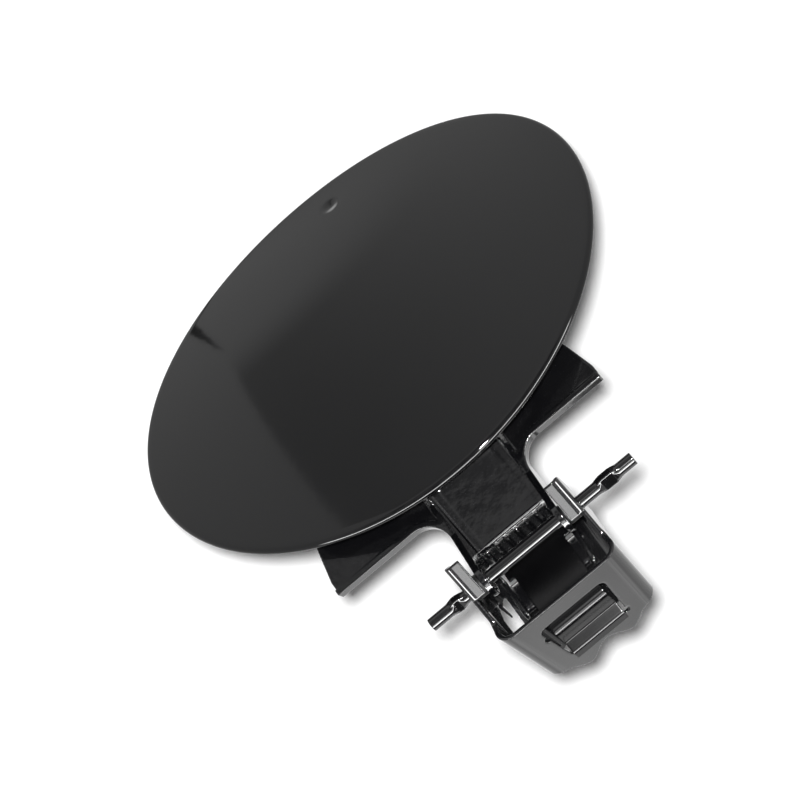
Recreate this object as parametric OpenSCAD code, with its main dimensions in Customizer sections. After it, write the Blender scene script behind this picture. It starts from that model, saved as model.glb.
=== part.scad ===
// Round fuel door with its gooseneck arm, hinge pin, hinge box and leaf spring.
// Millimetres. The origin is on the hinge pin's axis, midway between the two ears of the box.
// +X runs from the door's centre towards the hinge, +Y points inward, away from the painted face,
// and +Z runs up along the hinge pin. The door is drawn shut.

/* [Door skin] */
// Diameter of the round door
door_d = 165; // [150:1:175]
// Radius of the one-way curve of the door's face
face_curve_r = 700; // [600:10:1000]
// Thickness of the painted outer skin
skin_t = 0.8; // [0.6:0.1:1.0]
// Width of the edge that is folded over the inner panel
hem_w = 8; // [6:0.5:9]
// Diameter of the shallow press mark in the face
dent_d = 5; // [3:0.5:7]
// Depth of the press mark
dent_depth = 0.3; // [0.1:0.1:0.5]

/* [Inner panel] */
// Thickness of the inner panel
panel_t = 0.8; // [0.6:0.1:1.0]
// Width of the panel's flat rim outside its tray
panel_rim = 12.5; // [11.5:0.5:14.5]
// Depth of the tray below the skin
tray_depth = 5; // [4:0.5:6]
// Slant of the tray's side wall, measured along the face
tray_draft = 4; // [3:0.5:5]
// Mid radius of the stiffening bead pressed into the tray
bead_r = 27; // [24:1:30]
// Width of the bead
bead_w = 7; // [5:0.5:9]
// Depth of the bead
bead_depth = 1.6; // [1:0.1:2]
// Diameter of the panel's paint drain holes
drain_d = 7; // [5:0.5:9]
// Radius of the circle on which the drain holes lie
drain_ring_r = 45; // [40:1:48]

/* [Door position] */
// Distance from the pin to the door's centre, along the face
door_back = 95.2; // [92:0.2:100]
// Distance from the pin out to the crown of the face
door_out = 31.8; // [30:0.2:34]

/* [Hinge arm] */
// Thickness of the arm's sheet
arm_t = 2; // [1.6:0.1:2.2]
// Width of the arm's wings at their lower edge
wing_span = 97.8; // [90:0.2:104]
// Sideways shift of the wings from the middle of the hinge
wing_shift = -2; // [-3:0.5:3]
// Distance from the pin back to the wings' lower edge
wing_back = 24.3; // [23:0.1:26]
// Distance from the pin out to the wings' lower edge
wing_out = 9.3; // [8:0.1:11]
// Slope of the wings from the door's face, in degrees
wing_slope = 35; // [32:1:38]
// Height of the straight end edge of a wing
wing_end = 5; // [4:0.5:7]
// Length by which the welded pad is shorter than the wings, at each end
wing_flare = 5; // [3:0.5:7]
// Length of the pad that is welded to the inner panel
pad_len = 26; // [20:1:28]
// Height of the turned-up lip along the arm's outline
lip_h = 2.6; // [2:0.1:3.5]
// Outside width of the arm's neck
neck_w = 29.8; // [28:0.1:31]
// Radius of the fillet between a wing and the neck
neck_fillet = 8; // [6:0.5:9]
// Distance from the wings' lower edge up to the bend where the neck's web leaves them
web_start = 6.5; // [5:0.5:8]
// Distance from the pin back to the lower bend of the web
web_back = 17.3; // [17:0.1:19]
// Distance from the pin inward to the lower bend of the web
web_in = 5.4; // [4:0.1:6]
// Length of the web's end wall below that bend
end_wall = 6; // [5:0.1:7]
// Radius inside the long corners of the neck
corner_r = 3.2; // [2:0.1:4]
// Radius of the arm's eye round the pin
eye_r = 5.2; // [4.8:0.1:5.6]
// Number of small ribs across the end wall's bend
rib_count = 7; // [3:2:9]
// Thickness of one rib
rib_t = 0.8; // [0.6:0.1:1.2]
// Height of a rib
rib_h = 1; // [0.6:0.1:1.4]

/* [Hinge pin] */
// Diameter of the hinge pin
pin_d = 4; // [3.6:0.1:4.2]
// Length of the pin above the middle of the hinge
pin_up = 39.7; // [38:0.1:42]
// Length of the pin below the middle of the hinge
pin_down = 33.9; // [32:0.1:36]
// Length of the round tip beyond the upper pinch
tip_up = 5; // [4:0.1:6]
// Length of the round tip beyond the lower pinch
tip_down = 6.6; // [5:0.1:7]
// Length of the upper pinched stretch
pinch_up = 8.5; // [6:0.5:8.5]
// Length of the lower pinched stretch
pinch_down = 6.2; // [5.5:0.1:6.4]
// Thickness that is left between the pinched flats
pinch_t = 2.6; // [2.2:0.1:3]
// Width to which the pinch spreads the pin
pinch_w = 4.5; // [4.3:0.1:4.8]
// Length of the slant at each end of a pinch
pinch_run = 2.4; // [1.5:0.1:3]
// Outer radius of the spacer bushes
bush_r = 3.4; // [3.2:0.1:3.6]
// Radius of the stretch of a bush that sits in the arm
bush_seat_r = 3; // [2.8:0.1:3.1]

/* [Hinge box] */
// Thickness of the box's sheet
box_t = 1.5; // [1.2:0.1:1.6]
// Step by which the rim stands out from the face of each ear
rim_step = 0.6; // [0.3:0.1:1]
// Inward slant of each side wall over the height from the rim to the foot
side_draft = 1.7; // [1.2:0.1:2.2]
// Width by which the box is narrower at its rear wall than at its front wall, at the rim
rear_narrow = 3.2; // [2:0.1:3.6]
// The same at the foot of the rear wall
foot_narrow = 7; // [5:0.1:7.6]
// Distance from the pin inward to the rim
rim_in = 6.8; // [6:0.1:7.5]
// Distance from the pin forward to the outside of the front wall, at the rim
rim_front = 18; // [17:0.1:19]
// Distance from the pin inward to the foot, between its lobes
foot_in = 37.6; // [37:0.1:40]
// Distance from the pin inward to the foot of the rear wall
rear_foot = 48; // [44:0.5:50]
// Backward lean of the front wall over its height
front_lean = 8.9; // [8:0.1:10]
// Distance from the pin back to the outside of the rear wall
rear_back = 12; // [11.5:0.1:13]
// Distance from the pin inward to the upper end of the notch in the rear wall
notch_start = 18.9; // [18:0.1:20]
// Distance from the pin inward to the step where the notch grows wider
notch_step = 24.6; // [23:0.1:26]
// Distance from the pin inward to the lower end of the notch
notch_end = 34; // [32:0.5:36]
// Width of the notch above its step
notch_w = 1.9; // [1.5:0.1:2.4]
// Radius of the box's front corners
front_corner_r = 5; // [4:0.5:6]
// Radius of the box's rear corners
rear_corner_r = 3; // [2.5:0.5:4]
// Height of the two lobes of the foot
lobe_h = 4.8; // [4:0.1:5.4]
// Distance between the two lobes
lobe_pitch = 15.4; // [14:0.1:17]
// Outside width over the two ears
ear_w = 40.8; // [40:0.1:41.6]
// Distance from the pin out to the top of the ears
ear_out = 12; // [11:0.1:13]
// Radius of an ear's rounded corners
ear_corner_r = 2.2; // [1.5:0.1:3]
// Width of the window's upper edge in the front wall
window_w = 23; // [22:0.1:24]
// Width of the window's lower edge
window_low_w = 19.8; // [19:0.1:20.4]
// Distance from the pin inward to the window's upper edge
window_top = 13.6; // [13:0.1:15]
// Distance from the pin inward to the window's lower edge
window_bottom = 31.7; // [31:0.1:32.5]
// Radius of the window's corners
window_corner_r = 2; // [1.5:0.1:3]
// Radius of the two relief notches in the window's sides
notch_r = 1.5; // [1:0.1:1.8]
// Inside width between the side flanges of the tongue that carries the spring
tongue_w = 23.4; // [22:0.1:23.6]
// Length of the tongue along the leaf
tongue_len = 14; // [11:0.5:15]
// Height of the tongue's side flanges above the leaf's seat
tongue_flange = 2.2; // [1.6:0.1:2.4]

/* [Leaf spring] */
// Width of the leaf spring
leaf_w = 18.6; // [17:0.1:20]
// Width of the leaf's head, which lies between the tongue's flanges
leaf_head_w = 22.6; // [21:0.1:22.8]
// Length of the head
leaf_head_len = 8; // [6:0.5:10]
// Thickness of the leaf spring
leaf_t = 0.8; // [0.6:0.1:1]
// Slope of the leaf from the door's face, in degrees
leaf_slope = 16; // [14:1:18]
// Length of the hook outside the window
hook_len = 3.2; // [2:0.1:4]

/* [Latch striker] */
// Distance from the tray's edge in to the striker
striker_edge = 18; // [16:1:20]
// Width of the striker's foot
striker_w = 30; // [28:1:34]
// Depth of the striker's foot
striker_foot = 14; // [12:1:16]
// Thickness of the striker's sheet
striker_t = 2; // [1.6:0.1:2.4]
// Height of the striker's tongue above its foot
striker_h = 17; // [15:1:20]
// Width of the striker's tongue
striker_tongue = 13; // [12:0.5:15]
// Diameter of the hole for the lock's plunger
striker_hole = 7; // [6:0.5:8]
// Diameter of a rivet's shank
rivet_d = 4; // [3:0.5:5]
// Diameter of a rivet's head
rivet_head = 7; // [6:0.5:8]
// Height of a rivet's head
rivet_head_h = 1.2; // [0.8:0.1:1.6]
// Length of the clench on the panel's far side
rivet_clench = 1.4; // [1:0.1:1.8]

/* [Buffers] */
// Diameter of a rubber buffer
buffer_d = 11; // [9:0.5:13]
// Height of a buffer above the panel
buffer_h = 8; // [6:0.5:10]
// Diameter of the buffer's neck in the panel
buffer_neck = 6; // [5:0.5:7]
// Distance from the door's centre out to the buffers, along the face
buffer_off = 38; // [34:1:42]
// Distance between the buffers
buffer_pitch = 84; // [76:2:88]

/* [Clearances] */
// Gap between the arm and the box's sheet beside it
side_gap = 0.6; // [0.4:0.1:0.8]
// Radial clearance of the pin in the bushes
run_gap = 0.05; // [0.03:0.01:0.08]
// Radial clearance of fixed pieces in their holes
fit_gap = 0.02; // [0.01:0.01:0.04]
// Gap between pieces that bear on each other
seat_gap = 0.2; // [0.1:0.05:0.3]

/* [Hidden] */

// Colours
black_paint = [0.05, 0.05, 0.055];
black_coat = [0.11, 0.11, 0.12];
spring_steel = [0.27, 0.27, 0.29];
pin_steel = [0.2, 0.2, 0.21];
nylon = [0.75, 0.74, 0.7];
rubber_black = [0.08, 0.08, 0.08];
zinc = [0.62, 0.62, 0.6];
mastic_grey = [0.45, 0.45, 0.43];

// Facets of small rounds, of large discs and of the face's big cylinder
small_fn = 48;
disc_fn = 240;
curve_fn = 1440;
hull_fn = 32;
// Overlap that joins two solids of one piece, and the reach of cuts past their faces
lap = 0.4;
past = 1;
// Thickness of the slices that a hull is spanned between
slice = 0.01;

// Door
door_r = door_d / 2;
hem_depth = 2 * skin_t + panel_t;
panel_r = door_r - skin_t - 2 * seat_gap;
tray_r = door_r - panel_rim;
floor_in = skin_t + tray_depth;
floor_back = floor_in + panel_t;
drain_angles = [60, 120, 240, 300];
dent_curve_r = (pow(dent_d / 2, 2) + pow(dent_depth, 2)) / (2 * dent_depth);
dent_place = [-65.9, 11.4];

// Arm, seen along the pin
slope_dir = [cos(wing_slope), sin(wing_slope)];
slope_out = [sin(wing_slope), -cos(wing_slope)];
wing_edge = [-wing_back, -wing_out];
wing_mid = wing_edge - slope_out * arm_t / 2;
neck_half = neck_w / 2;
lip_end = wing_edge + slope_dir * neck_fillet + slope_out * lip_h;
slope_bend_r = 6;
web_bend_r = 9;
web_end_r = 3;
pad_bend = 4;
pad_steps = 5;
web_top = wing_mid - slope_dir * web_start;
web_low = [-web_back, web_in] + unit(left_of([-web_back, web_in] - wing_edge)) * arm_t / 2;
web_end = web_low + [0, end_wall];
eye_low = (eye_r - fit_gap) * [cos(120), sin(120)];
pad_joint = slope_meets_pad(-door_back / 2, 4);
pad_half = wing_span / 2 - wing_flare;
pad_corner_r = 8;

// Ears and box
pin_r = pin_d / 2;
ear_half = ear_w / 2;
rim_w = ear_w + 2 * rim_step;
ear_in = ear_half - box_t;
lip_in = neck_half + side_gap;
ear_top_front = [0.2, -ear_out];
ear_drop = 3.5;
ear_top_rear = [-5, ear_drop - ear_out];
ear_lip_end = [5.4, -1];
ear_foot_front = [8.6, rim_in];
ear_foot_rear = [-9, rim_in];
ear_root = 6;
lean = front_lean / (foot_in - rim_in);
taper = side_draft / (foot_in - rim_in);
lean_angle = atan(lean);
ear_rear_r = 3;
tongue_root = 6;
tongue_bend_r = 3;
flange_corner_r = 1.5;
notch_slant = 1.6;
foot_break = 3;
relief_depths = [19.2, 32.4];

// Leaf spring
leaf_start = [web_end[0], web_end[1] + leaf_t / 2 + seat_gap * 2];
leaf_dir = [cos(leaf_slope), sin(leaf_slope)];
hook_drop = 3.4;
leaf_bends = [2.5, 1, 1];
hook_reach = box_t / cos(lean_angle) + leaf_t + 2 * seat_gap;
leaf_wall_x = rim_front - box_t / cos(lean_angle) - seat_gap - leaf_t / 2;

// Striker and buffers
striker_off = tray_r - striker_edge;
collar_h = 2;
barb_h = 1.6;
barb_out = 0.9;

// Sides of the unit vector v turned a quarter left, and v made one long
function unit(v) = v / norm(v);
function left_of(v) = [-v[1], v[0]];
function turn_of(u, v) = u[0] * v[1] - u[1] * v[0] < 0 ? -1 : 1;

// How far the curved face lies below its crown at x along the face
function sag(x) = face_curve_r - sqrt(pow(face_curve_r, 2) - pow(x, 2));
// Middle of the arm's pad at x from the pin
function pad_mid_y(x) = -door_out + floor_back + arm_t / 2 + fit_gap + sag(x + door_back);
// Where the wings' middle plane meets the pad's, found in a few steps
function slope_meets_pad(x, steps) = steps == 0
    ? [x, pad_mid_y(x)]
    : slope_meets_pad(wing_mid[0] - (wing_mid[1] - pad_mid_y(x)) / tan(wing_slope), steps - 1);

// Outside of the box's front wall at depth y
function front_x(y) = rim_front - lean * (y - rim_in);
// Middle of the leaf where it runs down behind the front wall
function leaf_wall(y) = [leaf_wall_x - lean * (y - rim_in), y];

// Where the leaf's slope meets its run down the front wall
function leaf_meets_wall() =
    let (gap = leaf_wall(leaf_start[1])[0] - leaf_start[0])
    leaf_start + leaf_dir * gap / (leaf_dir[0] + lean * leaf_dir[1]);

// Points of a bend of radius r at corner b of the path a, b, c
function bend(a, b, c, r, n = 8) =
    let (u = unit(a - b), v = unit(c - b), half = acos(u * v) / 2, mid = b + unit(u + v) * r / sin(half))
    let (start = b + u * r / tan(half) - mid, first = atan2(start[1], start[0]))
    let (sweep = turn_of(b - a, c - b) * (180 - 2 * half))
    [for (i = [0:n]) mid + r * [cos(first + sweep * i / n), sin(first + sweep * i / n)]];
// A path with the bend radius r[i] at each inner corner i
function bent_path(p, r) =
    let (last = len(p) - 1)
    concat([p[0]], [for (i = [1:last - 1]) each bend(p[i - 1], p[i], p[i + 1], r[i - 1])], [p[last]]);
// A closed outline with the radius r at every corner
function rounded(p, r) =
    let (n = len(p))
    [for (i = [0:n - 1]) each bend(p[(i + n - 1) % n], p[i], p[(i + 1) % n], r, 6)];
// Point i of a path, moved sideways by d
function moved_point(p, i, d) =
    let (last = len(p) - 1, u = unit(p[max(i, 1)] - p[max(i, 1) - 1]))
    let (v = unit(p[min(i + 1, last)] - p[min(i, last - 1)]))
    let (side = unit(left_of(u) + left_of(v)))
    p[i] + side * d / (side * left_of(v));
// Outline of a sheet of thickness t whose middle follows the path
function sheet_outline(p, t) =
    let (last = len(p) - 1)
    concat([for (i = [0:last]) moved_point(p, i, t / 2)],
           [for (i = [last:-1:0]) moved_point(p, i, -t / 2)]);
// Point where a line from p just touches the circle of radius r round the pin, on its outer side
function tangent_point(p, r) =
    let (a = atan2(p[1], p[0]) + acos(r / norm(p)))
    r * [cos(a), sin(a)];

// A 2D outline seen along the pin, made w wide about the middle of the hinge
module across(w) {
    linear_extrude(w, center = true) children();
}

// A 2D outline in the plane of the wings: x runs up the slope from their lower edge, y along the pin
module on_wings(from, to) {
    translate([wing_edge[0], wing_edge[1], 0])
        rotate([0, 0, 180 + wing_slope])
            rotate([90, 0, 0])
                translate([0, 0, from])
                    linear_extrude(to - from) children();
}

// Both halves of something that is drawn on the upper side of the hinge
module both_sides() {
    children();
    mirror([0, 0, 1]) children();
}

// Places what is drawn from the door's centre, with its crown at the origin
module on_door() {
    translate([-door_back, -door_out, 0]) children();
}

// A round bar along Y from depth a to depth b
module bar_in(r, a, b, fn = small_fn) {
    translate([0, a, 0])
        rotate([-90, 0, 0])
            cylinder(h = b - a, r = r, $fn = fn);
}

// The layer between two depths below the curved face, over the disc of radius r
module face_layer(from, to, r) {
    intersection() {
        bar_in(r, -past, door_out, disc_fn);
        translate([0, face_curve_r, 0]) difference() {
            cylinder(h = door_d + 2 * past, r = face_curve_r - from, center = true, $fn = curve_fn);
            cylinder(h = door_d + 4 * past, r = face_curve_r - to, center = true, $fn = curve_fn);
        }
    }
}

// The painted face, with its edge folded round the inner panel
module outer_skin() {
    color(black_paint) on_door() {
        difference() {
            face_layer(0, hem_depth, door_r);
            intersection() {
                face_layer(skin_t - fit_gap, hem_depth + past, door_r);
                bar_in(door_r - hem_w, -past, door_out, disc_fn);
            }
            face_layer(skin_t - fit_gap, skin_t + panel_t + fit_gap, door_r - skin_t);
            translate([dent_place[0], sag(dent_place[0]) - dent_curve_r + dent_depth, dent_place[1]])
                sphere(r = dent_curve_r, $fn = 96);
        }
    }
}

// The tray's inner room: a cone that narrows with depth
module tray_room(grow) {
    deep = tray_depth + sag(tray_r) + 2 * past;
    wide = tray_r + grow;
    translate([0, skin_t - past, 0])
        rotate([-90, 0, 0])
            cylinder(h = deep, r1 = wide, r2 = wide - tray_draft * deep / tray_depth, $fn = disc_fn);
}

// A ring along Y between two depths
module ring_in(r_mid, w, a, b) {
    difference() {
        bar_in(r_mid + w / 2, a, b, disc_fn);
        bar_in(r_mid - w / 2, a - past, b + past, disc_fn);
    }
}

// The pressed panel behind the skin, with its tray, bead and holes
module inner_panel() {
    color(black_coat) on_door() {
        difference() {
            intersection() {
                face_layer(skin_t, floor_back, panel_r);
                union() {
                    face_layer(skin_t, skin_t + panel_t, door_r);
                    tray_room(panel_t);
                }
            }
            intersection() {
                face_layer(skin_t - past, floor_in, door_r);
                difference() {
                    tray_room(0);
                    ring_in(bead_r, bead_w + 2 * panel_t, -past, door_out);
                }
            }
            intersection() {
                face_layer(skin_t - past, floor_in - bead_depth, door_r);
                ring_in(bead_r, bead_w + 2 * panel_t + lap, -past, door_out);
            }
            intersection() {
                face_layer(floor_back - bead_depth, floor_back + past, door_r);
                ring_in(bead_r, bead_w, -past, door_out);
            }
            for (a = drain_angles)
                rotate([0, a, 0]) translate([drain_ring_r, 0, 0]) bar_in(drain_d / 2, 0, door_out);
            striker_rivet_places() bar_in(rivet_d / 2 + fit_gap, 0, door_out);
            buffer_places([-1, 1]) bar_in(buffer_neck / 2 + fit_gap, 0, door_out);
        }
    }
}

// Soft pads that keep the skin from drumming on the panel's bead
module mastic_pads() {
    color(mastic_grey) on_door()
        for (a = [45:90:315])
            intersection() {
                face_layer(skin_t, floor_in - bead_depth - fit_gap, door_r);
                rotate([0, a, 0]) translate([bead_r, 0, 0]) bar_in(bead_w / 2, 0, door_out);
            }
}

// Outline of the wings and the start of the neck, in the plane of the wings
module wing_plan() {
    low = wing_shift - wing_span / 2;
    high = wing_shift + wing_span / 2;
    pad_low = wing_shift - pad_half;
    pad_high = wing_shift + pad_half;
    far = pad_len * 4;
    difference() {
        union() {
            polygon([[0, low], [wing_end, low], [pad_len, pad_low], [far, pad_low],
                     [far, pad_high], [pad_len, pad_high], [wing_end, high], [0, high]]);
            translate([-neck_fillet, -neck_half - neck_fillet])
                square([neck_fillet + lap, neck_w + 2 * neck_fillet]);
        }
        for (side = [-1, 1])
            translate([-neck_fillet, side * (neck_half + neck_fillet)])
                circle(r = neck_fillet, $fn = small_fn * 2);
        translate([-neck_fillet - past, -neck_half + arm_t])
            square([neck_fillet + past + web_start, neck_w - 2 * arm_t]);
    }
}

// Outline of the arm seen from the front: it keeps all but the two rear corners of the pad
function pad_plan() =
    concat(bend([pad_len, -pad_half], [0, -pad_half], [0, 0], pad_corner_r),
           bend([0, 0], [0, pad_half], [pad_len, pad_half], pad_corner_r),
           [[pad_len / 2, pad_half], [pad_len / 2, wing_span], [wing_span, wing_span],
            [wing_span, -wing_span], [pad_len / 2, -wing_span], [pad_len / 2, -pad_half]]);

// The lip that is turned up along the wings' lower edge and round the fillets
module wing_lip_plan() {
    for (side = [-1, 1]) {
        end = wing_span / 2 + side * wing_shift;
        from = neck_half + neck_fillet;
        translate([0, side > 0 ? from : -end]) square([arm_t, end - from]);
        intersection() {
            translate([-neck_fillet, side * (neck_half + neck_fillet)]) difference() {
                circle(r = neck_fillet + arm_t, $fn = small_fn * 2);
                circle(r = neck_fillet, $fn = small_fn * 2);
            }
            translate([-neck_fillet, side > 0 ? neck_half - arm_t : -from])
                square([neck_fillet + arm_t, neck_fillet + arm_t]);
        }
    }
}

// Side wall of the neck, from the lip round the eye and back to the end wall
module neck_side_outline() {
    touch = tangent_point(lip_end, eye_r - fit_gap);
    start = wing_edge - slope_dir * (web_start + arm_t);
    polygon([start, wing_edge + slope_out * lip_h, lip_end, touch, [0, 0],
             eye_low, web_end, web_low, web_top]);
    circle(r = eye_r, $fn = small_fn * 2);
}

// The pressed gooseneck arm: welded pad, sloping wings, channel-shaped neck and two eyes
module hinge_arm() {
    pad_start = pad_joint[0] - pad_len;
    slope_path = concat(
        [for (i = [0:pad_steps])
            let (x = pad_start + i / pad_steps * (pad_len - pad_bend)) [x, pad_mid_y(x)]],
        bend([pad_joint[0] - pad_bend, pad_mid_y(pad_joint[0] - pad_bend)], pad_joint,
             wing_mid + slope_dir * (neck_fillet + past), slope_bend_r),
        [wing_mid + slope_dir * (neck_fillet + past)]);
    web_path = bent_path([web_top - slope_dir * 2 * arm_t, web_top, web_low, web_end],
                         [web_bend_r, web_end_r]);
    web_dir = unit(web_low - web_top);
    web_len = norm(web_low - web_top);
    rib_mid = (rib_count - 1) / 2;
    rib_pitch = (neck_w - 4 * arm_t) / (rib_count - 1);
    color(black_coat) difference() {
        union() {
            intersection() {
                across(wing_span * 2) polygon(sheet_outline(slope_path, arm_t));
                on_wings(-door_out, door_out) wing_plan();
                translate([pad_start, -door_out, wing_shift]) rotate([-90, 0, 0])
                    linear_extrude(2 * door_out) polygon(pad_plan());
            }
            intersection() {
                on_wings(-lip_h, arm_t) wing_lip_plan();
                on_wings(-door_out, door_out) wing_plan();
            }
            across(neck_w) polygon(sheet_outline(web_path, arm_t));
            both_sides() translate([0, 0, neck_half - arm_t]) linear_extrude(arm_t) neck_side_outline();
            both_sides() translate([web_top[0], web_top[1], neck_half - arm_t - corner_r])
                rotate([0, 0, atan2(web_dir[1], web_dir[0])])
                    rotate([0, 90, 0])
                        linear_extrude(web_len) mirror([1, 0]) translate([0, -arm_t / 2 - corner_r])
                            difference() {
                                square([corner_r + lap, corner_r + arm_t / 2]);
                                circle(r = corner_r, $fn = small_fn);
                            }
            for (i = [0:rib_count - 1])
                translate([web_low[0] + arm_t / 2, web_low[1] + arm_t / 2, (i - rib_mid) * rib_pitch])
                    translate([-lap, 0, -rib_t / 2]) cube([rib_h + lap, end_wall - arm_t / 2, rib_t]);
        }
        cylinder(h = neck_w + 2 * past, r = bush_seat_r + fit_gap, center = true, $fn = small_fn);
    }
}

// A nylon bush: its seat fills the arm's eye and its collar spaces the arm from the ear
module pin_bush() {
    color(nylon) difference() {
        union() {
            translate([0, 0, neck_half - arm_t])
                cylinder(h = arm_t + lap, r = bush_seat_r, $fn = small_fn);
            translate([0, 0, neck_half + fit_gap])
                cylinder(h = ear_in - neck_half - fit_gap - seat_gap, r = bush_r, $fn = small_fn);
        }
        translate([0, 0, neck_half - arm_t - past])
            cylinder(h = ear_half, r = pin_r + run_gap, $fn = small_fn);
    }
}

// The round pin with a pinched stretch near each end
module hinge_pin() {
    color(pin_steel) {
        difference() {
            translate([0, 0, -pin_down]) cylinder(h = pin_down + pin_up, r = pin_r, $fn = small_fn);
            pinch_waste(pin_up - tip_up - pinch_up, pin_up - tip_up);
            pinch_waste(tip_down - pin_down, tip_down - pin_down + pinch_down);
        }
        pinch_spread(pin_up - tip_up - pinch_up, pin_up - tip_up);
        pinch_spread(tip_down - pin_down, tip_down - pin_down + pinch_down);
    }
}

// What a pinch from height a to height b pushes away on both flats
module pinch_waste(a, b) {
    for (side = [0, 1])
        mirror([side, 0, 0])
            rotate([90, 0, 0])
                linear_extrude(pin_d + 2 * past, center = true)
                    polygon([[pin_r + lap, a], [pinch_t / 2, a + pinch_run], [pinch_t / 2, b - pinch_run],
                             [pin_r + lap, b]]);
}

// The metal that this pinch spreads wider than the pin
module pinch_spread(a, b) {
    rotate([0, 90, 0])
        rotate([0, 0, 90])
            linear_extrude(pinch_t, center = true)
                polygon([[lap - pin_r, a], [-pinch_w / 2, a + pinch_run], [-pinch_w / 2, b - pinch_run],
                         [lap - pin_r, b], [pin_r - lap, b], [pinch_w / 2, b - pinch_run],
                         [pinch_w / 2, a + pinch_run], [pin_r - lap, a]]);
}

// One level of the box at depth y, shrunk all round by inset
module box_level(y, inset) {
    half = rim_w / 2 - taper * (y - rim_in);
    narrow = rear_narrow + (foot_narrow - rear_narrow) * (y - rim_in) / (rear_foot - rim_in);
    for (side = [-1, 1]) {
        translate([front_x(y) - front_corner_r, y, side * (half - front_corner_r)])
            rotate([-90, 0, 0]) cylinder(h = slice, r = front_corner_r - inset, $fn = hull_fn);
        translate([rear_corner_r - rear_back, y, side * (half - narrow / 2 - rear_corner_r)])
            rotate([-90, 0, 0]) cylinder(h = slice, r = rear_corner_r - inset, $fn = hull_fn);
    }
}

// The four tapered walls of the box
module box_walls() {
    difference() {
        hull() {
            box_level(rim_in, 0);
            box_level(rear_foot, 0);
        }
        hull() {
            box_level(rim_in - past, box_t);
            box_level(rear_foot + past, box_t);
        }
    }
}

// Everything beyond the foot, which is wavy in front and slants down to the foot of the rear wall
module below_foot() {
    steps = 48;
    half = rim_w;
    deep = rear_foot + 2 * past;
    fall = (rear_foot - foot_in) / (foot_break + rear_back - rear_corner_r);
    intersection() {
        translate([-rim_w, 0, 0]) rotate([90, 0, 90]) linear_extrude(2 * rim_w)
            polygon(concat(
                [for (i = [-steps:steps]) let (z = i / steps * lobe_pitch)
                    [foot_in + lobe_h * (1 - cos(360 * z / lobe_pitch)) / 2, z]],
                [[foot_in, half], [deep, half], [deep, -half], [foot_in, -half]]));
        across(2 * half)
            polygon([[foot_break + rim_w, foot_in - fall * rim_w], [foot_break + rim_w, deep + rim_w],
                     [foot_break - rim_w, deep + rim_w], [foot_break - rim_w, foot_in + fall * rim_w]]);
    }
}

// Depth that the rear wall leaves free for the neck's side walls, which pass above it
function neck_room() =
    let (edge = unit(web_end - eye_low))
    eye_low[1] + (-rear_back - eye_low[0]) * edge[1] / edge[0] + side_gap;

// Room for the arm and the leaf above the rear wall, and the stepped notch beside the spring tongue
module rear_opening() {
    reach = rear_corner_r + box_t + past;
    half = rim_w / 2 + past;
    leaf_half = tongue_w / 2 + lap / 2;
    translate([-rear_back - past, 0, 0]) rotate([90, 0, 90]) linear_extrude(reach) {
        translate([0, -lip_in]) square([neck_room(), 2 * lip_in]);
        translate([0, -leaf_half]) square([tongue_corner()[1] + box_t, 2 * leaf_half]);
        polygon([[notch_start, -lip_in], [notch_start, -lip_in - notch_w],
                 [notch_step, -lip_in - notch_w], [notch_step, -half],
                 [notch_end, -half], [notch_end, -lip_in - notch_slant]]);
    }
}

// Corner of the tongue's middle line, where the rear wall's plane meets the leaf's seat
function tongue_corner() =
    let (under = leaf_start + left_of(leaf_dir) * (leaf_t / 2 + seat_gap + box_t / 2))
    let (rear_x = -rear_back + box_t / 2)
    under + leaf_dir * (rear_x - under[0]) / leaf_dir[0];

// Front window, as a cut along X: it narrows inward and has a relief notch in each side
module window_cut() {
    low = window_bottom + notch_r;
    rotate([90, 0, 90]) linear_extrude(rim_front + past) {
        polygon(rounded([[window_top, -window_w / 2], [window_top, window_w / 2],
                         [low, window_low_w / 2], [low, -window_low_w / 2]], window_corner_r));
        for (i = [0, 1])
            translate([relief_depths[i], (2 * i - 1) * (window_half(relief_depths[i]) - notch_r / 4)])
                circle(r = notch_r, $fn = small_fn);
    }
}

// Half of the window's width at depth y
function window_half(y) =
    (window_w + (window_low_w - window_w) * (y - window_top) / (window_bottom - window_top)) / 2;

// One ear: the plate that carries the pin and its turned-in front lip
module ear() {
    edge = ear_lip_end - ear_top_front;
    edge_dir = unit(edge);
    plate_front = ear_top_front + left_of(edge_dir) * ear_corner_r;
    translate([0, 0, ear_in]) linear_extrude(box_t)
        polygon(concat(bend(plate_front, ear_top_rear, ear_foot_rear, ear_rear_r),
                       [ear_foot_rear + [0, ear_root], ear_foot_front + [0, ear_root], ear_foot_front,
                        ear_lip_end + left_of(edge_dir) * ear_corner_r, plate_front]));
    translate([ear_top_front[0], ear_top_front[1], ear_half])
        rotate([0, 0, atan2(edge_dir[1], edge_dir[0])])
            rotate([0, 90, 0])
                linear_extrude(norm(edge)) ear_lip_section();
}

// Section of the ear's lip: x runs from the ear inward to the arm, y from the lip's face to its back
module ear_lip_section() {
    translate([ear_corner_r, 0]) square([ear_half - lip_in - ear_corner_r, box_t]);
    intersection() {
        translate([ear_corner_r, ear_corner_r]) difference() {
            circle(r = ear_corner_r, $fn = small_fn);
            circle(r = ear_corner_r - box_t, $fn = small_fn);
        }
        square([ear_corner_r, ear_corner_r]);
    }
    translate([0, ear_corner_r]) square([box_t, lap]);
}

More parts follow.
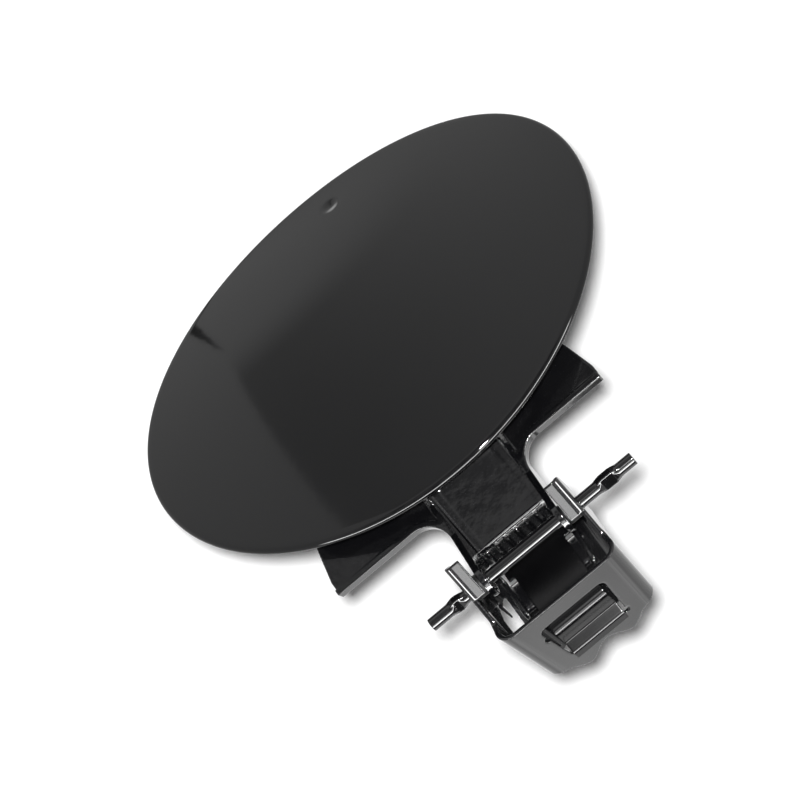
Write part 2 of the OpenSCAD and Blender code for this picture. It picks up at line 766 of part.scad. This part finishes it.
// The tongue of the rear wall that is bent forward to carry the leaf
module spring_tongue() {
    corner = tongue_corner();
    root = corner + [0, tongue_root];
    outer = tongue_w + 2 * box_t;
    top = -box_t / 2 - tongue_flange;
    across(outer)
        polygon(sheet_outline(bent_path([root, corner, corner + leaf_dir * tongue_len], [tongue_bend_r]),
                                   box_t - fit_gap));
    both_sides() translate([corner[0], corner[1], tongue_w / 2])
        rotate([0, 0, leaf_slope])
            linear_extrude(box_t)
                polygon(concat([[0, 0]],
                               bend([0, 0], [0, top], [tongue_len, top], flange_corner_r),
                               bend([0, top], [tongue_len, top], [tongue_len, 0], flange_corner_r),
                               [[tongue_len, 0]]));
}

// The pressed box: tapered walls, two ears, window, lobed foot and spring tongue
module hinge_box() {
    color(black_coat) difference() {
        union() {
            difference() {
                box_walls();
                rear_opening();
            }
            both_sides() ear();
            spring_tongue();
        }
        below_foot();
        window_cut();
        cylinder(h = ear_w + 2 * past, r = pin_r + fit_gap, center = true, $fn = small_fn);
    }
}

// The flat leaf: it bears on the arm's end wall, runs forward, down the front wall and hooks the window
module leaf_spring() {
    front = leaf_meets_wall();
    wall_low = leaf_wall(window_bottom - hook_drop);
    out = wall_low + [hook_reach, hook_drop - leaf_t];
    path = bent_path([leaf_start, front, wall_low, out, out + [-lean, 1] * hook_len], leaf_bends);
    color(spring_steel) intersection() {
        across(leaf_head_w) polygon(sheet_outline(path, leaf_t));
        union() {
            across(leaf_w) translate([-rim_w, 0]) square(2 * rim_w);
            across(rim_w) translate([leaf_start[0] - past, 0]) square([leaf_head_len + past, rear_foot]);
        }
    }
}

// Places something at the two rivets of the striker
module striker_rivet_places() {
    for (side = [-1, 1])
        translate([-striker_off, 0, side * (striker_w + striker_tongue) / 4]) children();
}

// The riveted striker: a foot on the panel and a tongue with the plunger's hole
module latch_striker() {
    back = floor_back + sag(striker_off) + striker_t / 2;
    eye = back + striker_h - striker_tongue / 2;
    color(zinc) on_door() difference() {
        union() {
            intersection() {
                face_layer(floor_back + fit_gap, floor_back + striker_t, door_r);
                translate([-striker_off - striker_foot / 2, 0, -striker_w / 2])
                    cube([striker_foot, door_out, striker_w]);
            }
            translate([-striker_off - striker_t / 2, back, -striker_tongue / 2])
                cube([striker_t, eye - back, striker_tongue]);
            translate([-striker_off, eye, 0]) rotate([0, 90, 0])
                cylinder(h = striker_t, r = striker_tongue / 2, center = true, $fn = small_fn * 2);
        }
        translate([-striker_off, eye, 0]) rotate([0, 90, 0])
            cylinder(h = striker_t + 2 * past, r = striker_hole / 2, center = true, $fn = small_fn);
        striker_rivet_places() bar_in(rivet_d / 2 + fit_gap, 0, door_out);
    }
}

// The two rivets through the striker's foot and the panel. Both ends follow the curved sheets
module striker_rivets() {
    head = floor_back + striker_t + fit_gap;
    clench = floor_in - fit_gap;
    color(zinc) on_door() {
        rivet_disc(head, head + rivet_head_h, rivet_head / 2);
        rivet_disc(clench - rivet_clench, clench, rivet_d / 2 + rivet_clench / 2);
        rivet_disc(clench - rivet_clench / 2, head + rivet_head_h / 2, rivet_d / 2);
    }
}

// One disc of each rivet between two depths below the curved face
module rivet_disc(from, to, r) {
    intersection() {
        face_layer(from, to, door_r);
        striker_rivet_places() bar_in(r, 0, door_out);
    }
}

// Places something at the buffers on the given sides
module buffer_places(sides) {
    for (side = sides)
        translate([-buffer_off, 0, side * buffer_pitch / 2]) children();
}

// A rubber buffer in the panel: a collar that follows the sheet, a tapered head and a barbed neck
module rubber_buffer(side) {
    seat = floor_back + sag(buffer_off);
    low = floor_in + sag(buffer_off) - seat_gap - barb_h;
    intersection() {
        face_layer(floor_back + fit_gap, floor_back + collar_h, door_r);
        buffer_places([side]) bar_in(buffer_d / 2, 0, door_out);
    }
    head_r = buffer_d / 2 - barb_out;
    neck_r = buffer_neck / 2;
    buffer_places([side]) {
        bar_in(neck_r, low, seat + collar_h / 2);
        translate([0, low - barb_h, 0]) rotate([-90, 0, 0])
            cylinder(h = barb_h, r1 = neck_r, r2 = neck_r + barb_out, $fn = small_fn);
        translate([0, seat + collar_h / 2, 0]) rotate([-90, 0, 0])
            cylinder(h = buffer_h - collar_h / 2, r1 = head_r, r2 = neck_r, $fn = small_fn);
    }
}

module bush_upper() {
    pin_bush();
}

module bush_lower() {
    mirror([0, 0, 1]) pin_bush();
}

module buffer_upper() {
    color(rubber_black) on_door() rubber_buffer(1);
}

module buffer_lower() {
    color(rubber_black) on_door() rubber_buffer(-1);
}

outer_skin();
inner_panel();
mastic_pads();
hinge_arm();
bush_upper();
bush_lower();
latch_striker();
striker_rivets();
buffer_upper();
buffer_lower();
hinge_box();
hinge_pin();
leaf_spring();
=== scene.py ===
# A round car fuel door on its gooseneck hinge, dressed for a studio picture
import math

import bmesh
import bpy
from mathutils import Matrix, Vector


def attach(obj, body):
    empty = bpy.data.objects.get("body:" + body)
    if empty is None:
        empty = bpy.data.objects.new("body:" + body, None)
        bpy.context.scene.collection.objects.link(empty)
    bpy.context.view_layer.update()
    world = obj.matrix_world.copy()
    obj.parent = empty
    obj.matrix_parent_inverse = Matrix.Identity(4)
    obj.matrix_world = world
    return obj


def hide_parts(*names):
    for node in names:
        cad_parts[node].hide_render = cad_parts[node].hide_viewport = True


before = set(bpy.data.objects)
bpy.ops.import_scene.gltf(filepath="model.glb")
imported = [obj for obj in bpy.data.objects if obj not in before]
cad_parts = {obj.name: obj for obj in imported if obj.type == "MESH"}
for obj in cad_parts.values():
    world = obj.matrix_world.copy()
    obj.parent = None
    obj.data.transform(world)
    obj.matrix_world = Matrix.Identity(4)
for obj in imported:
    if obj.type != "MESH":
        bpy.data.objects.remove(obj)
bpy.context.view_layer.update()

MM = 0.001

# Sizes of the door and its arm in millimetres, as the solids have them
door_radius = 82.5
face_curve = 700.0
door_centre = Vector((-95.2, -31.8, 0.0))
hem_width = 8.0
hem_radius = 1.2
neck_width = 29.8
arm_sheet = 2.0

# The skin's sheet here is a touch thinner than the solid's 0.8 mm
skin_sheet = 0.78

# The press mark in the face, in millimetres from the door's centre
dent_place = Vector((-65.9, 11.4))
dent_radius = 4.2
dent_depth = 0.62


# Camera

view_right = Vector((0.307496, 0.573936, 0.758976))
view_down = Vector((0.501920, 0.579804, -0.641797))
view_forward = Vector((-0.808407, 0.578295, -0.109782))
camera_place = Vector((0.509706, -0.430985, 0.073907))


def add_camera():
    """The camera, where the photographer stood, with its sides square to the picture."""
    data = bpy.data.cameras.new("camera")
    data.sensor_width = 36.0
    data.lens = 108.0
    data.clip_start = 0.01
    data.clip_end = 20.0
    camera = bpy.data.objects.new("camera", data)
    bpy.context.scene.collection.objects.link(camera)
    turn = Matrix((view_right, -view_down, -view_forward)).transposed()
    camera.matrix_world = Matrix.Translation(camera_place) @ turn.to_4x4()
    bpy.context.scene.camera = camera


add_camera()
bpy.context.scene.view_settings.view_transform = "Standard"


# Materials

def from_hex(text):
    """An sRGB hex colour as linear numbers."""
    def linear(c):
        return c / 12.92 if c <= 0.04045 else ((c + 0.055) / 1.055) ** 2.4
    return tuple(linear(int(text[i:i + 2], 16) / 255) for i in (1, 3, 5)) + (1.0,)


def scale_for(size):
    """The scale of a pattern whose marks have about a size in millimetres."""
    return 1 / (size * MM)


def add_node(tree, kind, settings=None, links=None):
    """Adds a node. Settings name its properties or inputs, and links give the socket that feeds an input."""
    node = tree.nodes.new(kind)
    for key, value in (settings or {}).items():
        if isinstance(key, str) and hasattr(node, key) and key not in node.inputs:
            setattr(node, key, value)
        else:
            node.inputs[key].default_value = value
    for key, socket in (links or {}).items():
        tree.links.new(socket, node.inputs[key])
    return node


def new_material(name):
    """An empty node material: the material, its tree and the tree's output node."""
    material = bpy.data.materials.new(name)
    material.use_nodes = True
    tree = material.node_tree
    tree.nodes.clear()
    return material, tree, add_node(tree, "ShaderNodeOutputMaterial")


def part_coordinates(tree):
    """The position on the part in its own frame, in metres, which moves with its body."""
    return add_node(tree, "ShaderNodeTexCoord").outputs["Object"]


def tone_cloud(tree, place, dark, light, size):
    """Clouds of about a size in millimetres, and a colour that drifts with them between two close tones."""
    cloud = add_node(tree, "ShaderNodeTexNoise", {"Scale": scale_for(size), "Detail": 4.0, "Roughness": 0.55},
                     {"Vector": place})
    tone = add_node(tree, "ShaderNodeValToRGB", links={"Fac": cloud.outputs["Fac"]})
    for stop, position, colour in zip(tone.color_ramp.elements, (0.35, 0.7), (dark, light)):
        stop.position = position
        stop.color = from_hex(colour)
    return cloud.outputs["Fac"], tone.outputs["Color"]


def gloss_black_paint():
    """Car paint, sprayed and baked: a deep black that mirrors the room, with a trace of orange peel."""
    material, tree, output = new_material("gloss_black_paint")
    place = part_coordinates(tree)
    cloud, tone = tone_cloud(tree, place, "#0a0a0b", "#0f0f10", 111.1)
    # The peel of sprayed paint, about 3 mm from crest to crest
    peel = add_node(tree, "ShaderNodeTexNoise", {"Scale": scale_for(3.333), "Detail": 1.0}, {"Vector": place})
    bump = add_node(tree, "ShaderNodeBump", {"Strength": 0.02, "Distance": 0.0001},
                    {"Height": peel.outputs["Fac"]})
    haze = add_node(tree, "ShaderNodeMapRange",
                    {"From Min": 0.3, "From Max": 0.7, "To Min": 0.02, "To Max": 0.045}, {"Value": cloud})
    paint = add_node(tree, "ShaderNodeBsdfPrincipled", {"IOR": 1.5},
                     {"Base Color": tone, "Roughness": haze.outputs["Result"],
                      "Normal": bump.outputs["Normal"]})
    tree.links.new(paint.outputs["BSDF"], output.inputs["Surface"])
    return material


def black_dip_coat(name, dark, light, wave, rough=0.12, shine=1.0):
    """Pressed sheet under black lacquer: sharp gloss over a broad sheen. Its waves bend what it mirrors."""
    material, tree, output = new_material(name)
    place = part_coordinates(tree)
    cloud, tone = tone_cloud(tree, place, dark, light, 16.67)
    # Waves of the pressing, about 8 mm long, under runs of the lacquer, about 1 mm long
    ripple = add_node(tree, "ShaderNodeTexNoise", {"Scale": scale_for(8.333), "Detail": 2.0},
                      {"Vector": place})
    runs = add_node(tree, "ShaderNodeTexNoise", {"Scale": scale_for(1.0), "Detail": 2.0},
                    {"Vector": place})
    both = add_node(tree, "ShaderNodeMath", {"operation": "MULTIPLY_ADD", 1: 0.12},
                    {0: runs.outputs["Fac"], 2: ripple.outputs["Fac"]})
    bump = add_node(tree, "ShaderNodeBump", {"Strength": wave, "Distance": 0.0003},
                    {"Height": both.outputs["Value"]})
    haze = add_node(tree, "ShaderNodeMapRange",
                    {"From Min": 0.3, "From Max": 0.7, "To Min": 0.04, "To Max": 0.09}, {"Value": cloud})
    coat = add_node(tree, "ShaderNodeBsdfPrincipled",
                    {"IOR": 1.5, "Roughness": rough, "Coat Weight": shine, "Coat IOR": 1.5},
                    {"Base Color": tone, "Coat Roughness": haze.outputs["Result"],
                     "Normal": bump.outputs["Normal"], "Coat Normal": bump.outputs["Normal"]})
    tree.links.new(coat.outputs["BSDF"], output.inputs["Surface"])
    return material


def zinc_on_steel():
    """Zinc plate on pressed steel: a pale grey metal with fine drawing marks along one direction."""
    material, tree, output = new_material("zinc_plate")
    place = part_coordinates(tree)
    tone = tone_cloud(tree, place, "#a9a9a4", "#c2c2bc", 12.5)[1]
    # Drawing marks about 1 mm wide and ten times as long
    along = add_node(tree, "ShaderNodeMapping", {"Scale": (1.0, 0.1, 1.0)}, {"Vector": place})
    marks = add_node(tree, "ShaderNodeTexNoise", {"Scale": scale_for(1.111), "Detail": 3.0},
                     {"Vector": along.outputs["Vector"]})
    bump = add_node(tree, "ShaderNodeBump", {"Strength": 0.04, "Distance": 0.00005},
                    {"Height": marks.outputs["Fac"]})
    haze = add_node(tree, "ShaderNodeMapRange",
                    {"From Min": 0.3, "From Max": 0.7, "To Min": 0.3, "To Max": 0.45},
                    {"Value": marks.outputs["Fac"]})
    steel = add_node(tree, "ShaderNodeBsdfPrincipled", {"Metallic": 1.0},
                     {"Base Color": tone, "Roughness": haze.outputs["Result"],
                      "Normal": bump.outputs["Normal"]})
    tree.links.new(steel.outputs["BSDF"], output.inputs["Surface"])
    return material


def dull_polymer(name, dark, light, rough, grain_size):
    """Moulded nylon, rubber or mastic: no metal, a dull skin with a fine grain, its size in millimetres."""
    material, tree, output = new_material(name)
    place = part_coordinates(tree)
    tone = tone_cloud(tree, place, dark, light, 8.333)[1]
    grain = add_node(tree, "ShaderNodeTexNoise", {"Scale": scale_for(grain_size), "Detail": 2.0},
                     {"Vector": place})
    bump = add_node(tree, "ShaderNodeBump", {"Strength": 0.2, "Distance": 0.0001},
                    {"Height": grain.outputs["Fac"]})
    skin = add_node(tree, "ShaderNodeBsdfPrincipled", {"IOR": 1.5, "Roughness": rough},
                    {"Base Color": tone, "Normal": bump.outputs["Normal"]})
    tree.links.new(skin.outputs["BSDF"], output.inputs["Surface"])
    return material


face_paint = gloss_black_paint()
arm_coat = black_dip_coat("arm_coat", "#08080a", "#0e0e0f", 0.3)
box_coat = black_dip_coat("box_coat", "#0e0e10", "#161617", 0.06)
panel_coat = black_dip_coat("panel_coat", "#101011", "#171718", 0.06)
# The spring has the broad sheen without the gloss above it
leaf_lacquer = black_dip_coat("leaf_lacquer", "#060607", "#0c0c0d", 0.08, rough=0.16, shine=0.0)
pin_black = black_dip_coat("pin_black", "#0c0c0d", "#141415", 0.08)
zinc_plate = zinc_on_steel()
bush_nylon = dull_polymer("bush_nylon", "#161616", "#1d1d1d", 0.5, 1.111)
buffer_rubber = dull_polymer("buffer_rubber", "#141414", "#1b1b1b", 0.75, 1.429)
mastic = dull_polymer("mastic", "#5c5c59", "#6c6c68", 0.8, 3.333)


# Pieces

def add_piece(name, mesh, body, slot, material, *nodes):
    """Puts a mesh in the scene as a smooth piece that rides on a body and stands for CAD nodes."""
    piece = bpy.data.objects.new(name, mesh)
    bpy.context.scene.collection.objects.link(piece)
    mesh.materials.clear()
    mesh.materials.append(material)
    for polygon in mesh.polygons:
        polygon.use_smooth = True
    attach(piece, body)
    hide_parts(*nodes)


def closed_mesh(work, name):
    """A mesh from a closed bmesh, with its faces turned outward. The bmesh goes."""
    bmesh.ops.recalc_face_normals(work, faces=work.faces)
    mesh = bpy.data.meshes.new(name)
    work.to_mesh(mesh)
    work.free()
    return mesh


def sag(x):
    """How far the curved face lies below its crown, x millimetres from the door's centre."""
    return face_curve - math.sqrt(face_curve * face_curve - x * x)


def press_mark(x, z):
    """How deep the dimple in the face is at a place."""
    d = (Vector((x, z)) - dent_place).length / dent_radius
    return dent_depth * (math.cos(math.pi * d) + 1) / 2 if d < 1 else 0.0


def skin_profile():
    """The painted sheet as (radius, depth): face, rolled edge, folded flange and its inner side."""
    edge = door_radius - hem_radius
    inner = door_radius - hem_width
    deep = 2 * hem_radius
    flange_face = deep - skin_sheet
    fold_room = edge - 0.2
    face_rings = 64
    face_pitch = 1.25
    roll_steps = 14
    flat = [(0.0, 0.0)] + [(1.0 + face_pitch * i, 0.0) for i in range(face_rings)]
    angles = [math.radians(-90 + 180 * i / roll_steps) for i in range(roll_steps + 1)]
    roll = [(edge + hem_radius * math.cos(a), hem_radius + hem_radius * math.sin(a)) for a in angles]
    flange = [(inner + 4, deep), (inner + 0.3, deep), (inner + 0.08, deep - 0.1), (inner, deep - 0.35),
              (inner, flange_face), (fold_room, flange_face)]
    inside = [(r, skin_sheet) for r in (fold_room, 70.0, 50.0, 25.0, 0.0)]
    return flat + roll + flange + inside


def turned_skin(steps):
    """The skin's profile turned about the door's axis and laid on the curved face, with the press mark."""
    work = bmesh.new()
    rings = []
    for r, y in skin_profile():
        if r == 0:
            rings.append([work.verts.new((door_centre.x * MM, (door_centre.y + y) * MM, 0.0))])
            continue
        ring = []
        for i in range(steps):
            a = 2 * math.pi * i / steps
            x = r * math.cos(a)
            z = r * math.sin(a)
            depth = y + sag(x)
            if y < skin_sheet / 2:
                depth += press_mark(x, z)
            ring.append(work.verts.new(((door_centre.x + x) * MM, (door_centre.y + depth) * MM, z * MM)))
        rings.append(ring)
    for a, b in zip(rings, rings[1:]):
        for i in range(steps):
            j = (i + 1) % steps
            if len(a) == 1:
                work.faces.new((a[0], b[i], b[j]))
            elif len(b) == 1:
                work.faces.new((a[i], b[0], a[j]))
            else:
                work.faces.new((a[i], b[i], b[j], a[j]))
    return closed_mesh(work, "skin_face")


def prism(outline, below, above):
    """A closed prism from an outline seen along the pin, between two heights, all in millimetres."""
    work = bmesh.new()
    low = [work.verts.new((x * MM, y * MM, below * MM)) for x, y in outline]
    high = [work.verts.new((x * MM, y * MM, above * MM)) for x, y in outline]
    work.faces.new(low)
    work.faces.new(high)
    for i in range(len(outline)):
        j = (i + 1) % len(outline)
        work.faces.new((low[i], low[j], high[j], high[i]))
    return closed_mesh(work, "prism")


def channel_floor():
    """The room above the neck's web, right into the corners of its side walls, which are struck sharp."""
    # The middle of the web's sheet, seen along the pin
    top = Vector((-30.2, -12.21))
    low = Vector((-18.2, 5.83))
    along = (low - top).normalized()
    front = Vector((along.y, -along.x))
    # It starts above the bend, so that no end of the fillet is left
    top = top - along * 3
    clearance = 0.05
    height = 3.6
    near = front * (arm_sheet / 2 + clearance)
    far = near + front * height
    half_width = neck_width / 2 - arm_sheet - clearance
    return prism([top + near, low + near, low + far, top + far], -half_width, half_width)


def side_hole():
    """The hole in the hinge box's lower side wall, next to the rear wall's notch."""
    outline = [(-8.3, 16.6), (0.8, 15.6), (5.0, 20.1), (6.0, 30.0), (-8.3, 33.5)]
    return prism(outline, below=-23.0, above=-15.0)


def joined(node):
    """A copy of a node's mesh with its doubled corners joined."""
    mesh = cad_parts[node].data.copy()
    work = bmesh.new()
    work.from_mesh(mesh)
    bmesh.ops.remove_doubles(work, verts=work.verts, dist=2e-7)
    work.to_mesh(mesh)
    work.free()
    return mesh


def softened(node, grain, rounds, share, cut=None):
    """A node's shape with its sheared edges broken: even quads, their grain in millimetres, relaxed a few
    rounds. Flat stretches then keep a share of the faces. A cut is a mesh that is taken away first."""
    scratch = bpy.data.objects.new("scratch", joined(node))
    bpy.context.scene.collection.objects.link(scratch)
    if cut:
        knife = bpy.data.objects.new("knife", cut)
        bpy.context.scene.collection.objects.link(knife)
        away = scratch.modifiers.new("away", "BOOLEAN")
        away.operation = "DIFFERENCE"
        away.object = knife
        away.solver = "EXACT"
    even = scratch.modifiers.new("even", "REMESH")
    even.mode = "VOXEL"
    even.voxel_size = grain * MM
    relax = scratch.modifiers.new("relax", "SMOOTH")
    relax.factor = 0.5
    relax.iterations = rounds
    if share < 1:
        fewer = scratch.modifiers.new("fewer", "DECIMATE")
        fewer.ratio = share
    bpy.context.view_layer.update()
    shaped = scratch.evaluated_get(bpy.context.evaluated_depsgraph_get())
    mesh = bpy.data.meshes.new_from_object(shaped)
    mesh.name = node + "_soft"
    bpy.data.objects.remove(scratch)
    if cut:
        bpy.data.objects.remove(knife)
    return mesh


def add_softened(name, node, body, slot, material, grain, rounds, share=1.0, cut=None):
    """Adds a piece that is a node with softened edges."""
    add_piece(name, softened(node, grain, rounds, share, cut), body, slot, material, node)


add_piece("skin_face", turned_skin(480), "door", "face_paint", face_paint, "outer_skin")
add_softened("gooseneck_arm", "hinge_arm", "door", "black_coat", arm_coat, 0.27, 6, 0.3, channel_floor())
add_softened("hinge_housing", "hinge_box", "base", "black_coat", box_coat, 0.22, 12, 0.36, side_hole())
add_softened("pinched_pin", "hinge_pin", "base", "pin_steel", pin_black, 0.2, 6)
add_softened("leaf_blade", "leaf_spring", "base", "spring_steel", leaf_lacquer, 0.16, 9, 0.7)
add_softened("panel_shell", "inner_panel", "door", "black_coat", panel_coat, 0.42, 4, 0.3)
add_softened("striker_bracket", "latch_striker", "door", "zinc", zinc_plate, 0.2, 4, 0.6)
add_softened("rivet_pair", "striker_rivets", "door", "zinc", zinc_plate, 0.15, 4, 0.6)
for side in ("upper", "lower"):
    add_softened("buffer_plug_" + side, "buffer_" + side, "door", "buffer_rubber", buffer_rubber, 0.2, 6, 0.6)
    add_softened("nylon_bush_" + side, "bush_" + side, "door", "bush_nylon", bush_nylon, 0.15, 5, 0.6)
add_softened("mastic_dots", "mastic_pads", "door", "mastic", mastic, 0.25, 8, 0.6)


# Backdrop

def paper_white():
    """White paper. It keeps the part's soft shadow. From behind it is clear, and the gloss sees past it."""
    material, tree, output = new_material("backdrop_paper")
    side = add_node(tree, "ShaderNodeNewGeometry")
    path = add_node(tree, "ShaderNodeLightPath")
    unseen = add_node(tree, "ShaderNodeMath", {"operation": "MAXIMUM"},
                      {0: side.outputs["Backfacing"], 1: path.outputs["Is Glossy Ray"]})
    paper = add_node(tree, "ShaderNodeBsdfDiffuse", {"Color": from_hex("#ffffff")})
    clear = add_node(tree, "ShaderNodeBsdfTransparent")
    whole = add_node(tree, "ShaderNodeMixShader",
                     links={"Fac": unseen.outputs["Value"],
                            1: paper.outputs["BSDF"], 2: clear.outputs["BSDF"]})
    tree.links.new(whole.outputs["Shader"], output.inputs["Surface"])
    return material


def backdrop_card(behind, left, half):
    """A square card that faces the camera, so far behind the pin and to the left. Its side is twice half."""
    middle = view_forward * behind - view_right * left
    corners = [middle + view_right * a * half + view_down * b * half
               for a, b in ((-1, 1), (1, 1), (1, -1), (-1, -1))]
    mesh = bpy.data.meshes.new("backdrop")
    mesh.from_pydata(corners, [], [(0, 1, 2, 3)])
    mesh.materials.append(paper_white())
    card = bpy.data.objects.new("backdrop", mesh)
    bpy.context.scene.collection.objects.link(card)


# The card stands just behind the door's far edge
backdrop_card(behind=0.134, left=0.02, half=1.2)


# Light

def add_lamp(name, shape, size, watts, place, travel):
    """An area lamp at a place, whose light travels along a direction."""
    data = bpy.data.lights.new(name, "AREA")
    data.shape = shape
    data.size = size
    data.energy = watts
    lamp = bpy.data.objects.new(name, data)
    bpy.context.scene.collection.objects.link(lamp)
    lamp.location = place
    lamp.rotation_mode = "QUATERNION"
    lamp.rotation_quaternion = travel.to_track_quat("-Z", "Y")


def add_flash(watts, width, left, up, back):
    """The small lamp that throws the shadow. It stands close to the camera."""
    place = camera_place - view_right * left - view_down * up - view_forward * back
    add_lamp("flash", "DISK", width, watts, place, view_forward)


def add_key(azimuth, height, distance, side, glow):
    """A square soft box, seen from the pin at an azimuth and a height in degrees. Its glow is even."""
    a = math.radians(azimuth)
    h = math.radians(height)
    place = distance * Vector((math.cos(a) * math.cos(h), math.sin(a) * math.cos(h), math.sin(h)))
    add_lamp("key", "SQUARE", side, glow * math.pi * side * side, place, -place)


add_flash(watts=7.2, width=0.04, left=0.018, up=0.018, back=0.02)
add_key(azimuth=350.0, height=-6.0, distance=0.9, side=0.24, glow=3.6)


def studio_room():
    """The room that the gloss mirrors. The camera sees white, and dull surfaces get a plain dim light.
    The face mirrors a pale table, the wall above its edge and a dark wedge between them. The arm's wings
    mirror a dark side with pale patches. A window, soft glows and a strip light stand round the part."""
    world = bpy.data.worlds.new("studio")
    bpy.context.scene.world = world
    world.use_nodes = True
    tree = world.node_tree
    tree.nodes.clear()
    output = add_node(tree, "ShaderNodeOutputWorld")
    toward = add_node(tree, "ShaderNodeTexCoord").outputs["Generated"]

    def near(direction, low, high):
        """How near a view is to a direction: 0 below the first cosine, and 1 above the second."""
        turn = add_node(tree, "ShaderNodeVectorMath", {"operation": "DOT_PRODUCT", 1: direction}, {0: toward})
        soft = add_node(tree, "ShaderNodeMapRange",
                        {"interpolation_type": "SMOOTHSTEP", "From Min": low, "From Max": high},
                        {"Value": turn.outputs["Value"]})
        return soft.outputs["Result"]

    def lay(under, over, *masks):
        """Lays one level of light over another where all the masks are 1."""
        share = masks[0]
        for mask in masks[1:]:
            both = add_node(tree, "ShaderNodeMath", {"operation": "MULTIPLY"}, {0: share, 1: mask})
            share = both.outputs["Value"]
        mix = add_node(tree, "ShaderNodeMix", {"data_type": "FLOAT"}, {0: share})
        for socket, level in ((2, under), (3, over)):
            if isinstance(level, float):
                mix.inputs[socket].default_value = level
            else:
                tree.links.new(level, mix.inputs[socket])
        return mix.outputs[0]

    # The table's pale top, and the wall above its edge, which is darker low down and in one patch pale
    table = 0.52
    table_edge = (-0.1113, -0.1166, 0.987)
    wall = lay(0.28, 0.54, near(table_edge, 0.0, 0.16))
    wall = lay(wall, table, near((-0.915, -0.37, -0.155), 0.988, 0.9976))
    room = lay(table, wall, near(table_edge, -0.002, 0.002))

    # The dark wedge between two planes
    above_lower = near((-0.16984, 0.00236, 0.98546), -0.0006, 0.0006)
    below_upper = near((0.14698, 0.04554, -0.98814), -0.0006, 0.0006)
    room = lay(room, 0.08, above_lower, below_upper)

    # A window behind the hinge
    room = lay(room, 1.2, near((-0.985, 0.1, -0.1), 0.93, 0.985))

    # The side that the wings mirror, dark with pale patches about 4 degrees wide
    cloud = add_node(tree, "ShaderNodeTexNoise", {"Scale": 14.0, "Detail": 3.0}, {"Vector": toward})
    patches = add_node(tree, "ShaderNodeMapRange",
                       {"From Min": 0.5, "From Max": 0.56, "To Min": 0.02, "To Max": 0.6},
                       {"Value": cloud.outputs["Fac"]})
    room = lay(room, patches.outputs["Result"], near((0.574, -0.819, 0.0), 0.7, 0.85))

    # What the neck's web mirrors: dark, and pale past a ragged border
    ragged = add_node(tree, "ShaderNodeTexNoise", {"Scale": 55.0, "Detail": 3.0}, {"Vector": toward})
    across = add_node(tree, "ShaderNodeVectorMath", {"operation": "DOT_PRODUCT", 1: (0.4741, 0.8805, 0.0)},
                      {0: toward})
    drift = add_node(tree, "ShaderNodeMath", {"operation": "MULTIPLY_ADD", 1: 0.03},
                     {0: ragged.outputs["Fac"], 2: across.outputs["Value"]})
    border = add_node(tree, "ShaderNodeMapRange",
                      {"From Min": 0.002, "From Max": 0.02, "To Min": 0.02, "To Max": 0.34},
                      {"Value": drift.outputs["Value"]})
    room = lay(room, border.outputs["Result"], near((0.878, -0.467, -0.105), 0.985, 0.995))

    # A soft glow for the leaf inside the box, and a dark corner for the ribs
    room = lay(room, 0.6, near((-0.378, -0.919, -0.11), 0.975, 0.992))
    room = lay(room, 0.04, near((0.88, 0.47, -0.1), 0.8, 0.93))

    # A mottled glow for the box's front wall
    mottle = add_node(tree, "ShaderNodeMapRange",
                      {"From Min": 0.4, "From Max": 0.6, "To Min": 0.82, "To Max": 1.12},
                      {"Value": cloud.outputs["Fac"]})
    room = lay(room, mottle.outputs["Result"], near((0.26, 0.96, -0.1), 0.88, 0.96))

    # The backdrop's glow, which edges that turn away from the camera mirror
    room = lay(room, 0.8, near(tuple(view_forward), 0.86, 0.95))

    # A tall strip light, which draws the thin bright lines along the hem and the turned-up lips
    left_of = near((0.1392, -0.9903, 0.0), -0.15, -0.12)
    right_of = near((-0.1392, 0.9903, 0.0), -0.15, -0.12)
    in_front = near((0.9903, 0.1392, 0.0), 0.4, 0.5)
    room = lay(room, 16.0, left_of, right_of, in_front)

    path = add_node(tree, "ShaderNodeLightPath")
    level = lay(0.12, room, path.outputs["Is Glossy Ray"])
    level = lay(level, 1.0, path.outputs["Is Camera Ray"])
    sky = add_node(tree, "ShaderNodeBackground", {"Color": from_hex("#ffffff")}, {"Strength": level})
    tree.links.new(sky.outputs["Background"], output.inputs["Surface"])


studio_room()
